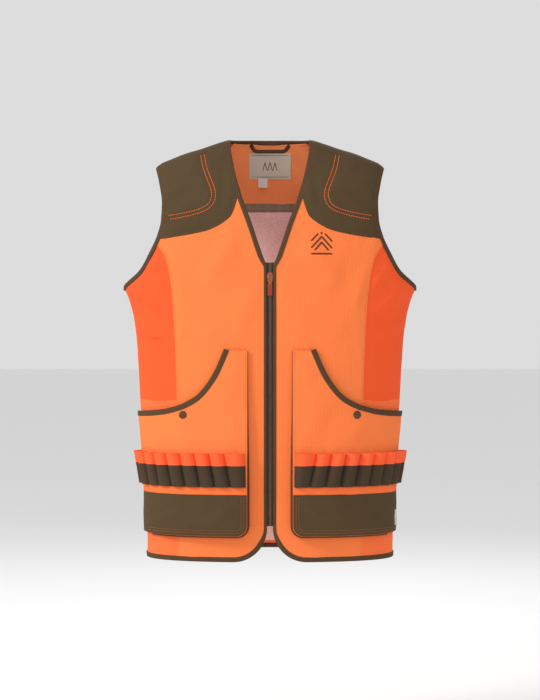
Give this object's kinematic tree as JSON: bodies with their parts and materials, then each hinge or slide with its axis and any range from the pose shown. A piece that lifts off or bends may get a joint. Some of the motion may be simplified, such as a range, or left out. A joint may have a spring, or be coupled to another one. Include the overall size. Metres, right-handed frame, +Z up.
{
  "type": "shooting vest",
  "caption": "Sleeveless zip-front field vest with quilted shoulder patches, bound edges, bellows pockets with snap mouths and rows of shell loops.",
  "frame": {"origin": "middle of the open hem, on the level the hem hangs to", "axes": "+X to the wearer's left, +Y to the wearer's back, +Z up; the zip faces -Y"},
  "size_m": [0.5228, 0.2573, 0.7466],
  "materials": {
    "safety_orange": "plain woven polyester cotton, light orange",
    "deep_orange": "plain woven polyester cotton, deeper orange",
    "olive_cloth": "brushed olive brown cloth",
    "olive_tape": "ribbed olive brown binding tape",
    "facing_orange": "smooth orange lining cloth",
    "mesh": "open knitted mesh, pale pink",
    "grey_tape": "grey brown twill tape",
    "label_cloth": "woven label, blank",
    "tag_cloth": "white satin tape, blank",
    "foam": "closed cell foam",
    "zip_nylon": "moulded zip teeth",
    "antique_brass": "antiqued",
    "snap_metal": "antiqued",
    "puller_cord": "red brown webbing",
    "thread_brown": "satin stitch thread"
  },
  "bodies": {
    "back": {"back_panel": "safety_orange", "back_lining": "mesh", "neck_facing": "facing_orange", "yoke_tape": "grey_tape", "neck_label": "label_cloth", "collar_binding": "olive_tape", "back_hem_binding": "olive_tape", "left_side_back": "deep_orange", "right_side_back": "deep_orange", "left_shoulder_patch": "olive_cloth", "right_shoulder_patch": "olive_cloth", "left_shoulder_pad": "foam", "right_shoulder_pad": "foam", "left_armhole_binding": "olive_tape", "right_armhole_binding": "olive_tape"},
    "left_front": {"left_front_panel": "safety_orange", "left_side_front": "deep_orange", "left_edge_binding": "olive_tape", "left_armhole_front_binding": "olive_tape", "left_pocket_gusset": "deep_orange", "left_snap_post": "snap_metal", "left_snap_stud": "snap_metal", "left_zip_tape": "olive_tape", "left_zip_comb": "zip_nylon", "zip_box": "zip_nylon", "chest_emblem": "thread_brown"},
    "right_front": {"right_front_panel": "safety_orange", "right_side_front": "deep_orange", "right_edge_binding": "olive_tape", "right_armhole_front_binding": "olive_tape", "right_pocket_gusset": "deep_orange", "right_snap_post": "snap_metal", "right_snap_stud": "snap_metal", "right_zip_tape": "olive_tape", "right_zip_comb": "zip_nylon", "zip_pin": "zip_nylon"},
    "left_pocket": {"left_pocket_panel": "safety_orange", "left_mouth_binding": "olive_tape", "left_lower_panel": "olive_cloth", "left_trim_strip": "deep_orange", "left_loops_lower": "olive_cloth", "left_loops_upper": "deep_orange", "left_snap_socket": "snap_metal", "left_snap_cap": "snap_metal", "side_tag": "label_cloth"},
    "right_pocket": {"right_pocket_panel": "safety_orange", "right_mouth_binding": "olive_tape", "right_lower_panel": "olive_cloth", "right_trim_strip": "deep_orange", "right_loops_lower": "olive_cloth", "right_loops_upper": "deep_orange", "right_snap_socket": "snap_metal", "right_snap_cap": "snap_metal"},
    "slider": {"slider_body": "antique_brass"},
    "puller": {"pull_link": "antique_brass", "pull_tab": "puller_cord"},
    "hanger": {"hanger_loop": "olive_tape"},
    "tag": {"size_tag": "tag_cloth"}
  },
  "joints": [
    {"name": "left_front_opens", "type": "hinge", "parent": "back", "child": "left_front", "pos_m": [0.219, 0.0087, 0], "axis": [0.0851, 0, 0.9964], "range_deg": [0, 35]},
    {"name": "right_front_opens", "type": "hinge", "parent": "back", "child": "right_front", "pos_m": [-0.219, 0.0087, 0], "axis": [0.0851, 0, -0.9964], "range_deg": [0, 35]},
    {"name": "left_pocket_swells", "type": "slide", "parent": "left_front", "child": "left_pocket", "axis": [0, -1, 0], "range_m": [0, 0.025], "deforming": ["left_pocket_gusset"]},
    {"name": "right_pocket_swells", "type": "slide", "parent": "right_front", "child": "right_pocket", "axis": [0, -1, 0], "range_m": [0, 0.025], "deforming": ["right_pocket_gusset"]},
    {"name": "zip_slides", "type": "slide", "parent": "left_front", "child": "slider", "axis": [0, 0, -1], "range_m": [0, 0.4]},
    {"name": "puller_lifts", "type": "hinge", "parent": "slider", "child": "puller", "pos_m": [0, -0.1048, 0.4895], "axis": [-1, 0, 0], "range_deg": [0, 150]},
    {"name": "hanger_lifts", "type": "hinge", "parent": "back", "child": "hanger", "pos_m": [0, 0.0537, 0.738], "axis": [-1, 0, 0], "range_deg": [0, 100]},
    {"name": "tag_lifts", "type": "hinge", "parent": "back", "child": "tag", "pos_m": [-0.013, 0.0852, 0.681], "axis": [-1, 0, 0], "range_deg": [0, 90]}
  ]
}
